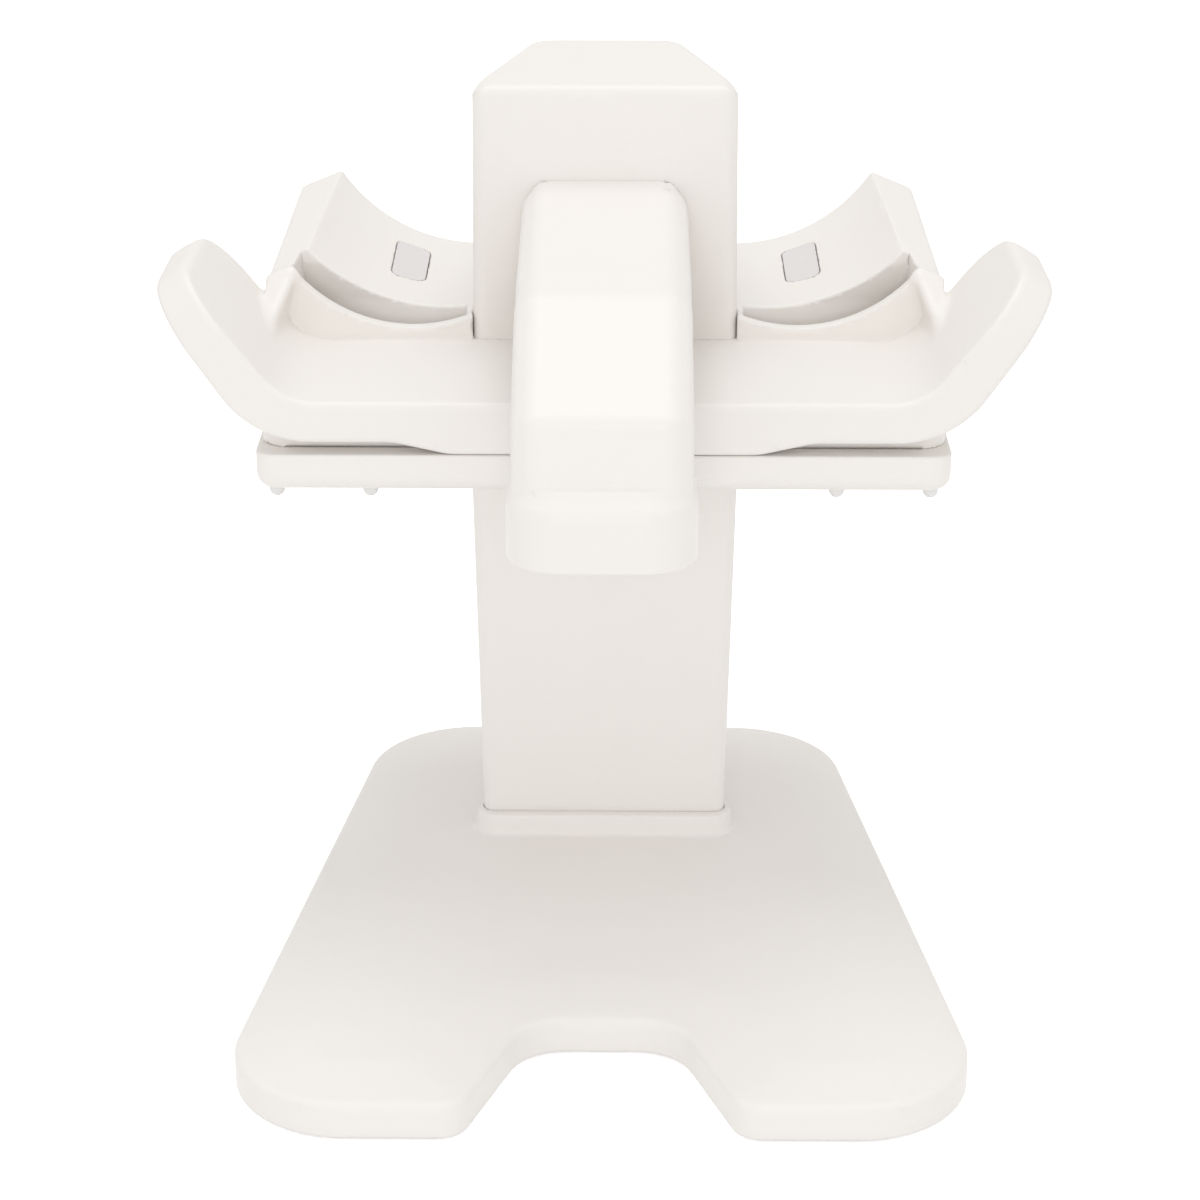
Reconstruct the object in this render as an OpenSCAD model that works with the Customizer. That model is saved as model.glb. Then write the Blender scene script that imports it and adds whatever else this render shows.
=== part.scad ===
// Table stand for a virtual reality headset and its two hand controllers.
// Millimetres, Z up, the front looks along -Y. Inside the modules Y is counted from the
// column's front face; the last step moves everything so that the origin lies on the table
// under the middle of the stand.

/* [Base] */
// Reach of the toes in front of the column's front face
toe_reach = 163; // [150:1:172]
// Reach of the base behind the column's front face
rear_reach = 86; // [82:1:94]
// Half width of the base where the side lines meet the toe line
toe_half_w = 110.9; // [104:0.1:116]
// Half width of the base where the side lines meet the rear line
rear_half_w = 76.6; // [70:0.1:82]
// Height of the flat top above the table
base_top = 15; // [14:0.5:18]
// Width of the border that slopes down all round the base
border_w = 20; // [16:1:20]
// Drop of the sloping border
border_drop = 2.6; // [1.5:0.1:3]
// Depth of the cut-out between the toes
notch_depth = 46.5; // [40:0.5:50]

/* [Column] */
// Width of the column's front face at its foot
foot_w = 81.1; // [78:0.1:82]
// Width of the column's front face under the tray
column_top_w = 86.7; // [84:0.1:88]
// Depth of the column from front to back
column_d = 68; // [60:1:72]
// Share of the front width that is left at the back
column_back_share = 0.565; // [0.5:0.005:0.6]
// Height of the socket rim that stands on the base
socket_h = 6.7; // [5:0.1:8]

/* [Tray] */
// Height of the underside of the lower plate
plate_bottom = 156; // [155:0.5:158]
// Thickness of the lower plate
plate_h = 11.5; // [10:0.5:12]
// Half width of the lower plate
plate_half_w = 101.6; // [100:0.1:102.5]
// Half width of the cradles at their front
cradle_half_w = 103; // [102:0.1:104]
// Half width of the cradles at the back
cradle_rear_half_w = 101; // [99.5:0.1:102]
// Height of the shelf in front of the cradles
shelf_top = 183.5; // [182:0.5:185]
// Reach of the shelf in front of the column
shelf_reach = 61; // [55:1:64]
// Depth of the cradles behind the column's front face
cradle_d = 85; // [82:1:86]
// Height of the lowest line of the cradle trough
trough_floor = 190.5; // [189:0.5:192]
// Radius of the cradle trough
trough_r = 53; // [50:0.5:56]
// Angle by which the troughs turn outwards to the front
trough_toe = 8; // [6:0.5:9]

/* [Wings] */
// Thickness of the shelf bar
bar_t = 12.4; // [11:0.1:13]
// Angle of a wing's upper side
wing_rise = 52.1; // [48:0.1:54]
// Angle of a wing's lower side
wing_under_rise = 56.1; // [52:0.1:58]
// Length of a wing's upper side beyond the line where it turns up
wing_len = 46; // [44:0.1:50]
// Height of the outer edge of a wing's tip
wing_lip_z = 216.2; // [212:0.1:219]

/* [Head] */
// Height of the top of the head
head_top = 262; // [255:0.5:263]
// Width of the head's front face at the top
head_top_w = 81.8; // [80:0.1:83]
// Width of the head's front face at the shelf
head_foot_w = 83.5; // [82:0.1:84.5]

/* [Arm] */
// Width of the headset arm
arm_w = 50; // [46:0.5:52]
// Width of the end block that the headset leans on
nose_w = 52.8; // [51:0.1:54]
// Reach of the end block in front of the column
nose_reach = 126; // [120:0.5:130]

/* [Hidden] */

$fn = 64;
arc_steps = 6;
wall = 2.4;
fit_gap = 0.25;
white = [0.95, 0.94, 0.92];
grey_rubber = [0.55, 0.55, 0.55];
steel = [0.7, 0.7, 0.72];
column_front = (toe_reach - rear_reach) / 2;
shell_bottom = 1;
pad_d = 20;
plate_t = 2;
plate_top = plate_bottom + plate_h;

// Screws: radii of the clearance hole, the pilot hole, the head's recess, the post and the cup
clear_r = 1.7;
pilot_r = 1.2;
recess_r = 3.2;
post_r = 3.6;
cup_r = 4.4;
boss_r = 4.6;
web_t = 1.6;

// Outlines: each corner is [x, y, radius], listed against the clock. outline() returns the
// rounded line moved inwards by d, always with the same number of points.
function spot(c) = [c[0], c[1]];
function unit(v) = v / norm(v);
function left_of(v) = [-v.y, v.x];
function turn_of(e, f) = atan2(e.x * f.y - e.y * f.x, e * f);
function arc_points(start, e, turn, r) =
    let (centre = start + sign(turn) * r * left_of(e), ray = start - centre)
    [for (k = [0 : arc_steps]) let (a = turn * k / arc_steps)
        centre + [ray.x * cos(a) - ray.y * sin(a), ray.x * sin(a) + ray.y * cos(a)]];
function rounded_corner(a, b, c, r, d) =
    let (e = unit(b - a), f = unit(c - b), turn = turn_of(e, f),
        n = left_of(e), m = left_of(f), corner = b + d * (n + m) / (1 + n * m),
        bend = turn > 0 ? max(r - d, 0.3) : r + d)
    arc_points(corner - e * bend * tan(abs(turn) / 2), e, turn, bend);
function outline(c, d = 0) = let (n = len(c)) [for (i = [0 : n - 1])
    each rounded_corner(spot(c[(i + n - 1) % n]), spot(c[i]), spot(c[(i + 1) % n]), c[i][2], d)];
function level(c, d, z) = [for (p = outline(c, d)) [p.x, p.y, z]];
function both_sides(half) = concat(half, [for (i = [len(half) - 1 : -1 : 0])
    [-half[i][0], half[i][1], half[i][2]]]);

// Closed skin over a stack of rings that all have the same number of points
module skin(rings) {
    n = len(rings[0]);
    last = (len(rings) - 1) * n;
    polyhedron(points = [for (r = rings) each r],
        faces = concat([[for (i = [0 : n - 1]) i]], [[for (i = [n - 1 : -1 : 0]) last + i]],
            [for (j = [0 : len(rings) - 2], i = [0 : n - 1])
                let (a = j * n + i, b = j * n + (i + 1) % n) each [[a, a + n, b + n], [a, b + n, b]]]),
        convexity = 6);
}

// Closed ring-shaped skin: a profile of [inset, height] points carried round an outline
module band(corners, profile) {
    rings = [for (q = profile) level(corners, q[0], q[1])];
    n = len(rings[0]);
    m = len(rings);
    polyhedron(points = [for (r = rings) each r],
        faces = [for (j = [0 : m - 1], i = [0 : n - 1])
            let (k = (j + 1) % m, a = j * n + i, b = j * n + (i + 1) % n, c = k * n + i, d = k * n + (i + 1) % n)
            each [[a, b, d], [a, d, c]]],
        convexity = 6);
}

module placed() translate([0, column_front, 0]) children();
module mirrored() { children(); mirror([1, 0, 0]) children(); }

// Pan head screw standing on its tip: the head's seat is at z = 0 and the shank points up
module screw(length, shank_r = 1.4, head_r = 2.9) {
    difference() {
        rotate_extrude($fn = 24)
            polygon([[0, -1.9], [head_r - 0.8, -1.9], [head_r, -1], [head_r, 0], [shank_r, 0],
                [shank_r, length - 1.5], [0.2, length], [0, length]]);
        for (a = [0, 90]) rotate(a) translate([-1.6, -0.3, -2.5]) cube([3.2, 0.6, 1.6]);
    }
}

// Base: rounded trapezoid with a cut-out between two toes and a rim for the column's foot
toe_inner = 39.2;
notch_half = 22;
base_corners = both_sides([[notch_half, notch_depth - toe_reach, 17], [toe_inner, -toe_reach, 9],
    [toe_half_w, -toe_reach, 34], [rear_half_w, rear_reach, 36]]);
base_edge_r = 2.6;
// Screw cups: height of the cup and of the screw's seat above the outer face
cup_h = 3.6;
cup_seat = 2.4;
base_screw_spots = [[0, -98], [85, -135], [-85, -135], [62, 66], [-62, 66], [0, 76]];
foot_pad_spots = [[-72, -140], [72, -140], [-52, 60], [52, 60]];
column_post_spots = [[-26, 13], [26, 13], [-14, 54], [14, 54]];

front_corner_r = 4;
back_corner_r = 9;
function column_corners(w, front = 0, back = column_d, more_r = 0) =
    let (b = w * column_back_share / 2, fr = front_corner_r + more_r, br = back_corner_r + more_r)
    [[w / 2, front, fr], [b, back, br], [-b, back, br], [-w / 2, front, fr]];

// Profile of the border, from the wall up to the flat top, as [inset, height]
function border_profile() = concat([for (a = [0, 30, 60, 90])
        [base_edge_r * (1 - cos(a)), base_top - border_drop - base_edge_r * (1 - sin(a))]],
    [[border_w, base_top]]);

module base_body() difference() {
    translate([0, 0, shell_bottom]) linear_extrude(base_top - shell_bottom) polygon(outline(base_corners));
    band(base_corners, concat([[-1, base_top - border_drop - base_edge_r]], border_profile(),
        [[border_w, base_top + 1], [-1, base_top + 1]]));
}

// Space inside the shell; a bite above 0 reaches that far into the wall and the top
module base_hollow(bite = 0) {
    for (step = [[wall, 9.6], [border_w / 2, 11], [border_w, base_top - wall]])
        linear_extrude(step[1] + bite) polygon(outline(base_corners, step[0] - bite));
}

// Rim round the column's foot: its sides lean, its top edge is rounded
rim_out = 2.9;
rim_front = 3.6;
rim_rear = 2.4;
rim_more_r = 2.5;
rim_corners = column_corners(foot_w + 2 * rim_out, -rim_front, column_d + rim_rear, rim_more_r);
rim_profile = [[-1.7, -1], [-1.5, 0.2], [-0.7, 1.6], [0, socket_h - 1], [0.3, socket_h - 0.3], [1, socket_h]];
module socket_rim() skin([for (q = rim_profile) level(rim_corners, q[0], base_top + q[1])]);

// Ribs under the top
rib_t = 1.8;
rib_low = 5;
rib_bite = 0.6;
module base_ribs() intersection() {
    base_hollow(rib_bite);
    union() {
        for (x = [-40, 40]) translate([x - rib_t / 2, -130, rib_low]) cube([rib_t, 200, 20]);
        for (y = [-90, -20, 30]) translate([-100, y - rib_t / 2, rib_low]) cube([200, rib_t, 20]);
    }
}

module base_shell() color(white) placed() difference() {
    union() {
        difference() {
            union() {
                base_body();
                socket_rim();
            }
            base_hollow();
        }
        base_ribs();
        for (p = base_screw_spots) translate([p.x, p.y, shell_bottom + cup_h])
            cylinder(r = post_r, h = 8.6);
    }
    skin([level(column_corners(foot_w), -fit_gap, base_top),
        level(column_corners(foot_w), -fit_gap, base_top + socket_h + 1)]);
    for (p = column_post_spots) translate([p.x, p.y, 0]) cylinder(r = clear_r, h = 30);
    for (p = base_screw_spots) translate([p.x, p.y, 0]) cylinder(r = pilot_r, h = 11);
}

module base_bottom_plate() color(white) placed() difference() {
    union() {
        translate([0, 0, shell_bottom]) linear_extrude(plate_t)
            polygon(outline(base_corners, wall + fit_gap));
        for (p = base_screw_spots) translate([p.x, p.y, shell_bottom + 0.5]) cylinder(r = cup_r, h = cup_h - 0.5);
    }
    for (p = base_screw_spots) translate([p.x, p.y, shell_bottom - 1]) {
        cylinder(r = clear_r, h = cup_h + 2);
        cylinder(r = recess_r, h = cup_seat + 1);
    }
    for (p = foot_pad_spots) translate([p.x, p.y, shell_bottom - 1])
        cylinder(d = pad_d + 0.4, h = 2);
}

module foot_pad(i) color(grey_rubber) placed() translate([foot_pad_spots[i].x, foot_pad_spots[i].y, 0])
    rotate_extrude() polygon([[0, 0], [pad_d / 2 - 0.6, 0], [pad_d / 2, 0.6],
        [pad_d / 2, shell_bottom + 1], [0, shell_bottom + 1]]);

module base_screws() color(steel) placed() for (p = base_screw_spots)
    translate([p.x, p.y, shell_bottom + cup_seat]) screw(8, pilot_r, 2.8);

// Column: a tube with draft, screw posts in its four corners
module column_solid(inset, low, high) {
    function w_at(z) = foot_w + (column_top_w - foot_w) * (z - base_top) / (plate_bottom - base_top);
    skin([level(column_corners(w_at(low)), inset, low), level(column_corners(w_at(high)), inset, high)]);
}

module column_tube() color(white) placed() {
    difference() {
        column_solid(0, base_top, plate_bottom);
        column_solid(wall, base_top - 1, plate_bottom + 1);
    }
    difference() {
        intersection() {
            column_solid(wall - 0.2, base_top, plate_bottom);
            translate([0, 0, base_top]) for (p = column_post_spots) {
                translate([p.x, p.y, 0]) cylinder(r = post_r, h = plate_bottom - base_top - 4);
                translate([p.x > 0 ? p.x : p.x - 20, p.y - web_t / 2, 0])
                    cube([20, web_t, plate_bottom - base_top - 4]);
            }
        }
        for (p = column_post_spots, z = [base_top - 1, plate_bottom - 16])
            translate([p.x, p.y, z]) cylinder(r = pilot_r, h = 13);
    }
}

module column_foot_screws() color(steel) placed() for (p = column_post_spots)
    translate([p.x, p.y, base_top - wall]) screw(12, pilot_r);

// Lower plate of the tray: a shallow open box on the column, with a locating rim below
plate_corners = [[plate_half_w, -shelf_reach, 6], [plate_half_w, cradle_d, 8],
    [-plate_half_w, cradle_d, 8], [-plate_half_w, -shelf_reach, 6]];
tray_screw_spots = [[-88, -20], [88, -20], [-90, 70], [90, 70], [-52, 30], [52, 30]];
function tray_post_h(p) = p.y < 0 ? 12 : 21;
peg_x = [-96.2, -68.6, 68.6, 96.2];
peg_y = 9 - shelf_reach;
peg_r = 2.3;
peg_drop = 4.2;
peg_up = 5.8;
peg_seat_r = 4.2;
plate_edge_r = 3;

module tray_lower_plate() color(white) placed() difference() {
    union() {
        difference() {
            skin(concat([for (a = [0, 30, 60, 90]) level(plate_corners, plate_edge_r * (1 - sin(a)),
                plate_bottom + plate_edge_r * (1 - cos(a)))], [level(plate_corners, 0, plate_top)]));
            skin([level(plate_corners, wall, plate_bottom + wall), level(plate_corners, wall, plate_top + 1)]);
        }
        difference() {
            column_solid(wall + fit_gap, plate_bottom - 3.5, plate_bottom + 0.1);
            column_solid(2 * wall + fit_gap, plate_bottom - 4, plate_bottom - 0.2);
        }
        for (p = tray_screw_spots) translate([p.x, p.y, plate_bottom + 1]) cylinder(r = boss_r, h = plate_h - 1);
        for (x = peg_x) translate([x, peg_y, plate_bottom + 1]) cylinder(r = peg_seat_r, h = 4);
    }
    for (p = tray_screw_spots) translate([p.x, p.y, plate_bottom - 1]) {
        cylinder(r = clear_r, h = plate_h + 2);
        cylinder(r = recess_r, h = 6);
    }
    for (p = column_post_spots) translate([p.x, p.y, plate_bottom - 5]) cylinder(r = clear_r, h = 9);
    for (x = peg_x) translate([x, peg_y, plate_bottom - 1]) cylinder(r = peg_r, h = 8);
}

module column_head_screws() color(steel) placed() for (p = column_post_spots)
    translate([p.x, p.y, plate_bottom + wall]) rotate([180, 0, 0]) screw(12, pilot_r);

// Peg pressed up into the plate, its round end hanging below
module hook_peg(i) color([0.88, 0.88, 0.87]) placed() translate([peg_x[i], peg_y, 0])
    rotate_extrude($fn = 32) polygon(concat([[0, plate_bottom + peg_up], [0, plate_bottom - peg_drop]],
        [for (a = [-75 : 15 : 0]) [peg_r * cos(a), plate_bottom - peg_drop + peg_r * (1 + sin(a))]],
        [[peg_r, plate_bottom + 5], [peg_r + 1, plate_bottom + 5], [peg_r + 1, plate_bottom + peg_up]]));

// Upper shell of the tray: shelf bar, upturned wings, cradle block
rise_x = 92.2;
under_x = 101.4;
inner_half = 45;
step_half = 61;
bar_bottom = shelf_top - bar_t;
tip_top = [rise_x + wing_len * cos(wing_rise), shelf_top + wing_len * sin(wing_rise)];
tip_low = [under_x + (wing_lip_z - bar_bottom) / tan(wing_under_rise), wing_lip_z];
bar_corners = both_sides([[inner_half, plate_top, 20], [step_half, bar_bottom, 20],
    [under_x, bar_bottom, 31], [tip_low.x, tip_low.y, 3.6], [tip_top.x, tip_top.y, 3.6],
    [rise_x, shelf_top, 19]]);

module wing_bar() intersection() {
    translate([0, 0.5, 0]) rotate([90, 0, 0]) linear_extrude(shelf_reach + 0.5) polygon(outline(bar_corners));
    wing_ends(1);
    wing_ends(-1);
}

// Everything that lies inside the rounded end of the wing on one side
end_rise = (wing_rise + wing_under_rise) / 2;
end_r = 21;
far = 400;
module wing_ends(side) on_side(side) translate([rise_x, 0, shelf_top]) rotate([0, -end_rise, 0])
    translate([0, 0, -far]) linear_extrude(2 * far) polygon(outline([[-far, -shelf_reach, 1],
        [tip_out, -shelf_reach, end_r], [tip_out, 0, end_r], [-wing_len, 0, 1], [-wing_len, 1, 1], [-far, 1, 1]]));
// Distance of the tip's farthest point from the line where the wing turns up
tip_out = max([for (p = outline(bar_corners))
    (p.x - rise_x) * cos(end_rise) + (p.y - shelf_top) * sin(end_rise)]) + 0.01;

module on_side(side) { if (side > 0) children(); else mirror([1, 0, 0]) children(); }

// Trough cylinder on the right-hand side, lying along Y and turned outwards to the front
trough_x = 52.7;
saddle_y = 9;
module trough_frame() translate([trough_x, saddle_y, 0]) rotate([0, 0, trough_toe]) children();
module trough(r) trough_frame() translate([0, -40, trough_floor + trough_r]) rotate([-90, 0, 0])
    cylinder(r = r, h = 160, $fn = 96);

land_outer_z = 203.5;
land_slope_x = 22.3;
land_slope_y = 3.7;
front_wall_t = 4.6;
lip_x = 59;
lip_floor = 187.2;
lip_r = 46;
slot_floor = 174;
mid_top = 194.5;
block_top = 220;
cheek_x = 55;

// Block from x outwards, its outer side closing in towards the back
module block_side(x, top) translate([0, 0, plate_top]) linear_extrude(top - plate_top)
    polygon([[x, 0], [cradle_half_w, 0], [cradle_rear_half_w, cradle_d], [x, cradle_d]]);

module cradle_side() difference() {
    union() {
        block_side(0, mid_top);
        block_side(cheek_x, block_top);
    }
    trough(trough_r);
    // sloping land on top of the outer cheek
    translate([cradle_rear_half_w, 0, land_outer_z]) rotate([land_slope_y, land_slope_x, 0])
        translate([-60, -30, 0]) cube([120, 160, 60]);
    // arc slot between the front wall and the saddle
    intersection() {
        trough_frame() translate([-40, -60, slot_floor]) cube([81.5, 60, 60]);
        translate([head_foot_w / 2 + 1, front_wall_t, slot_floor]) cube([60, 60, 60]);
    }
    // arched top of the front wall
    translate([lip_x, -1, lip_floor + lip_r]) rotate([-90, 0, 0])
        cylinder(r = lip_r, h = front_wall_t + 2, $fn = 96);
}

module cradle_hollow() difference() {
    union() {
        translate([wall - cradle_rear_half_w, 20, plate_top - 1])
            cube([2 * (cradle_rear_half_w - wall), cradle_d - 20 - wall, 186.5 - plate_top]);
        translate([-36, wall, plate_top - 1]) cube([72, cradle_d - 2 * wall, shelf_top - wall - plate_top + 1]);
    }
    column_block();
}
module column_block() translate([-head_foot_w / 2 - 2, 0, shelf_top - wall])
    cube([head_foot_w + 4, column_d + 4, 20]);

module head_pocket() skin([level(column_corners(head_foot_w), -fit_gap, shelf_top),
    level(column_corners(head_foot_w), -fit_gap, shelf_top + 40)]);

pad_half_w = 5.3;
pad_len = 32;
pad_x = 62.8;
pad_y = 36;
pad_deep = 1.6;
module pad_shape(extra, depth) intersection() {
    difference() {
        trough(trough_r + depth);
        trough(trough_r - 0.15);
    }
    translate([pad_x, pad_y, 150]) linear_extrude(60)
        polygon(outline([[-pad_half_w - extra, -extra, 1.5], [pad_half_w + extra, -extra, 1.5],
            [pad_half_w + extra, pad_len + extra, 1.5], [-pad_half_w - extra, pad_len + extra, 1.5]]));
}

module tray_upper_shell() color(white) placed() difference() {
    union() {
        wing_bar();
        difference() {
            mirrored() cradle_side();
            cradle_hollow();
            head_pocket();
        }
        mirrored() wing_root();
        for (p = tray_screw_spots) translate([p.x, p.y, plate_top]) cylinder(r = post_r, h = tray_post_h(p));
        difference() {
            skin([level(column_corners(head_foot_w), wall + fit_gap, shelf_top - 1),
                level(column_corners(head_foot_w), wall + fit_gap, shelf_top + 3)]);
            skin([level(column_corners(head_foot_w), 2 * wall, shelf_top),
                level(column_corners(head_foot_w), 2 * wall, shelf_top + 4)]);
        }
    }
    for (p = tray_screw_spots) translate([p.x, p.y, plate_top - 1]) cylinder(r = pilot_r, h = 11);
    for (p = column_post_spots) translate([p.x, p.y, plate_top]) cylinder(r = clear_r, h = 30);
    mirrored() pad_shape(fit_gap, pad_deep);
}

// Sloping root that leads the cheek down on to the wing; its inner side leans outwards
root_reach = 13;
root_top_x = 93.4;
root_low_x = 98.5;
root_tip_x = 100.5;
module wing_root() skin([
    [[root_low_x, 1, 187], [cradle_half_w, 1, 187], [cradle_half_w, 1, land_outer_z],
        [root_top_x, 1, land_outer_z + 4]],
    [[root_tip_x, -root_reach, 191], [cradle_half_w, -root_reach, 191], [cradle_half_w, -root_reach, 198],
        [root_tip_x, -root_reach, 195]]]);

module cradle_pad(side) color([0.88, 0.87, 0.87]) placed() on_side(side) pad_shape(0, pad_deep - 0.01);

module tray_screws() color(steel) placed() for (p = tray_screw_spots)
    translate([p.x, p.y, plate_bottom + 5]) screw(14, pilot_r);

// Head: a deep cap on the shelf, its top edge small in front and rounder at the sides
module head_solid(inset, top) intersection() {
    skin([level(column_corners(head_foot_w), inset, shelf_top - (inset > 0 ? 1 : 0)),
        level(column_corners(head_top_w), inset, top - 2.2),
        level(column_corners(head_top_w), inset + 0.3, top - 1.1),
        level(column_corners(head_top_w), inset + 1, top - 0.4),
        level(column_corners(head_top_w), inset + 2.2, top)]);
    rotate([90, 0, 0]) translate([0, 0, -90]) linear_extrude(100) polygon(outline(both_sides(
        [[head_foot_w, 150, 1], [head_foot_w / 2 + 0.6 - inset, shelf_top - 10, 1], [head_top_w / 2 - inset, top, 7]])));
}

module head_hood() color(white) placed() {
    difference() {
        head_solid(0, head_top);
        head_solid(wall, head_top - wall);
        for (p = arm_screw_spots) translate([p.x, 0, p.y]) rotate([-90, 0, 0]) cylinder(r = clear_r, h = 6, center = true);
    }
    difference() {
        intersection() {
            head_solid(wall - 0.6, head_top);
            for (p = column_post_spots) {
                translate([p.x, p.y, shelf_top]) cylinder(r = post_r, h = 30);
                translate([p.x > 0 ? p.x : p.x - 14, p.y - web_t / 2, shelf_top + 4]) cube([14, web_t, 26]);
            }
        }
        for (p = column_post_spots) translate([p.x, p.y, shelf_top - 1]) cylinder(r = pilot_r, h = 15);
    }
}

module head_screws() color(steel) placed() for (p = column_post_spots)
    translate([p.x, p.y, shelf_top - wall]) screw(13, pilot_r);

// Arm: stations from the column to the end block, each [top, bottom, half width, inset]
arm_screw_spots = [[-14, 226], [14, 226], [-14, 212], [14, 212]];
arm_r = 5.7;
function arm_ring(s, inset) = let (top = s[0], low = s[1], half = s[2] - inset, up = unit(top - low),
        h = norm(top - low) - inset, r = max(arm_r - inset, 1), rl = 1.2)
    [for (p = outline([[-half, s[3], rl], [half, s[3], rl], [half, h, r], [-half, h, r]]))
        [p.x, low.x + up.x * p.y, low.y + up.y * p.y]];
arm_half = arm_w / 2;
arm_stations = [
    [[0, 233.5], [0, 205], arm_half, 0], [[-74, 222.2], [-66, 197.5], arm_half, 0],
    [[-82, 220], [-72, 195.5], arm_half, 0], [[-86, 217.6], [-75.5, 193.5], arm_half, 0],
    [[-116, 199.4], [-93, 181], arm_half, 0], [[-119.5, 196.5], [-95, 178.5], arm_half, 0],
    [[-121, 193], [-96.5, 175], arm_half, 0], [[-121.3, 179.5], [-97, 168], arm_half, 0]];

nose_corners = [[nose_w / 2, -nose_reach, 12], [nose_w / 2, -97, 3], [-nose_w / 2, -97, 3],
    [-nose_w / 2, -nose_reach, 12]];
nose_low = 156.5;
nose_high = 174.3;

module arm_outer() {
    skin([for (s = arm_stations) arm_ring(s, 0)]);
    skin([level(nose_corners, 1, nose_low), level(nose_corners, 0, nose_low + 1),
        level(nose_corners, 0, nose_high), level(nose_corners, 4.7, nose_high + 5.1)]);
}

// Where the cover's screws go up: y and the height of the underside there
arm_cover_spots = [[-20, 202.7, 22], [-55, 198.8, 20.7]];
module headset_arm() color(white) placed() difference() {
    union() {
        difference() {
            arm_outer();
            intersection() {
                skin([for (i = [0 : 5]) arm_ring([arm_stations[i][0], arm_stations[i][1], arm_half, -3], wall)]);
                translate([-60, -100, 150]) cube([120, 100 - wall, 100]);
            }
        }
        for (p = arm_cover_spots) translate([0, p.x, p.y + cup_h + 0.8]) cylinder(r = post_r, h = p.z);
    }
    for (p = arm_cover_spots) translate([0, p.x, p.y]) cylinder(r = pilot_r, h = 16);
    for (p = arm_screw_spots) translate([p.x, 0, p.y]) rotate([90, 0, 0]) cylinder(r = pilot_r, h = 12, center = true);
}

cover_stations = [for (i = [0 : 5]) let (s = arm_stations[i], up = unit(s[0] - s[1]))
    [s[1] + up * wall, s[1] + up * 0.2, arm_half - wall - fit_gap, 0]];
module arm_cover() color(white) placed() difference() {
    union() {
        intersection() {
            skin([for (s = cover_stations) [for (p = [[-s[2], 0], [s[2], 0], [s[2], 1], [-s[2], 1]])
                let (q = s[1] + (s[0] - s[1]) * p.y) [p.x, q.x, q.y]]]);
            translate([-60, -99.5, 150]) cube([120, 99.5 - wall - fit_gap, 100]);
        }
        for (p = arm_cover_spots) translate([0, p.x, p.y + 0.8]) cylinder(r = cup_r, h = cup_h - 0.2);
    }
    for (p = arm_cover_spots) translate([0, p.x, p.y - 2]) {
        cylinder(r = clear_r, h = cup_h + 4);
        cylinder(r = recess_r, h = cup_seat + 2);
    }
}

module arm_root_screws() color(steel) placed() for (p = arm_screw_spots)
    translate([p.x, wall, p.y]) rotate([90, 0, 0]) screw(8, pilot_r);
module arm_cover_screws() color(steel) placed() for (p = arm_cover_spots)
    translate([0, p.x, p.y + cup_seat]) screw(8, pilot_r);

base_shell();
base_bottom_plate();
foot_pad(0);  // foot_pad_front_left
foot_pad(1);  // foot_pad_front_right
foot_pad(2);  // foot_pad_rear_left
foot_pad(3);  // foot_pad_rear_right
base_screws();
column_tube();
column_foot_screws();
column_head_screws();
tray_lower_plate();
hook_peg(0);  // hook_peg_outer_left
hook_peg(1);  // hook_peg_inner_left
hook_peg(2);  // hook_peg_inner_right
hook_peg(3);  // hook_peg_outer_right
tray_upper_shell();
cradle_pad(-1);  // cradle_pad_left
cradle_pad(1);  // cradle_pad_right
tray_screws();
head_hood();
head_screws();
headset_arm();
arm_cover();
arm_root_screws();
arm_cover_screws();
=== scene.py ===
import math

import bpy
import numpy as np
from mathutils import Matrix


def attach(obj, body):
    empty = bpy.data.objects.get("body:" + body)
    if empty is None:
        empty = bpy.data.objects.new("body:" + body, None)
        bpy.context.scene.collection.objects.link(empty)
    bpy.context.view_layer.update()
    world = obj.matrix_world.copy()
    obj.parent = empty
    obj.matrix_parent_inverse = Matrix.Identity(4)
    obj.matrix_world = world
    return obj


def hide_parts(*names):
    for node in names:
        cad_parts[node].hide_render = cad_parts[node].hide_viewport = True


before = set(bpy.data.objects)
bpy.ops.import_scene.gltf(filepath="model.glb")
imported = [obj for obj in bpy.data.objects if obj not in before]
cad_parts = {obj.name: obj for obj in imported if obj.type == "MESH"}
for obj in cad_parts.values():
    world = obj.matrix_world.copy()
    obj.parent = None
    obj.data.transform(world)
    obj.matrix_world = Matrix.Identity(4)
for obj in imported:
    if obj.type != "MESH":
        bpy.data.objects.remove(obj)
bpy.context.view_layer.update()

import openvdb
from mathutils import Vector


# Base shell: the white moulded foot of the stand, a trapezoid with two toes in front. Its border
# slopes down to a rounded edge, and a low collar on top takes the column's foot. It is one
# injection moulding in satin white plastic, open below, and a plate closes it.

# Every size is in millimetres, with y counted from the column's front face.
MM_PER_M = 1000
COLUMN_FRONT = 38.5
WALL = 2.4
GAP = 0.25
BASE_TOP = 15.0
BASE_LOW = 1.0
BASE_EDGE_R = 2.6
BASE_TOP_R = 2.0
BASE_FOOT_R = 0.9
BORDER_W = 20.0
BORDER_DROP = 2.6
BORDER_ROOF = 11
EDGE_ROOF = 9.6
COLLAR_H = 6.7
COLLAR_MORE_W = 5.8
COLLAR_AHEAD = 3.6
COLLAR_BEHIND = 2.4
COLLAR_MORE_R = 2.5
COLLAR_LEAN = 0.16
COLLAR_TOP_R = 1.0
COLLAR_DEPTH = 4
COLLAR_ROOT_R = 1.3
SOCKET_EDGE_R = 0.25
FOOT_W = 81.1
COLUMN_D = 68.0
BACK_SHARE = 0.565
FRONT_CORNER_R = 4
BACK_CORNER_R = 9
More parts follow.
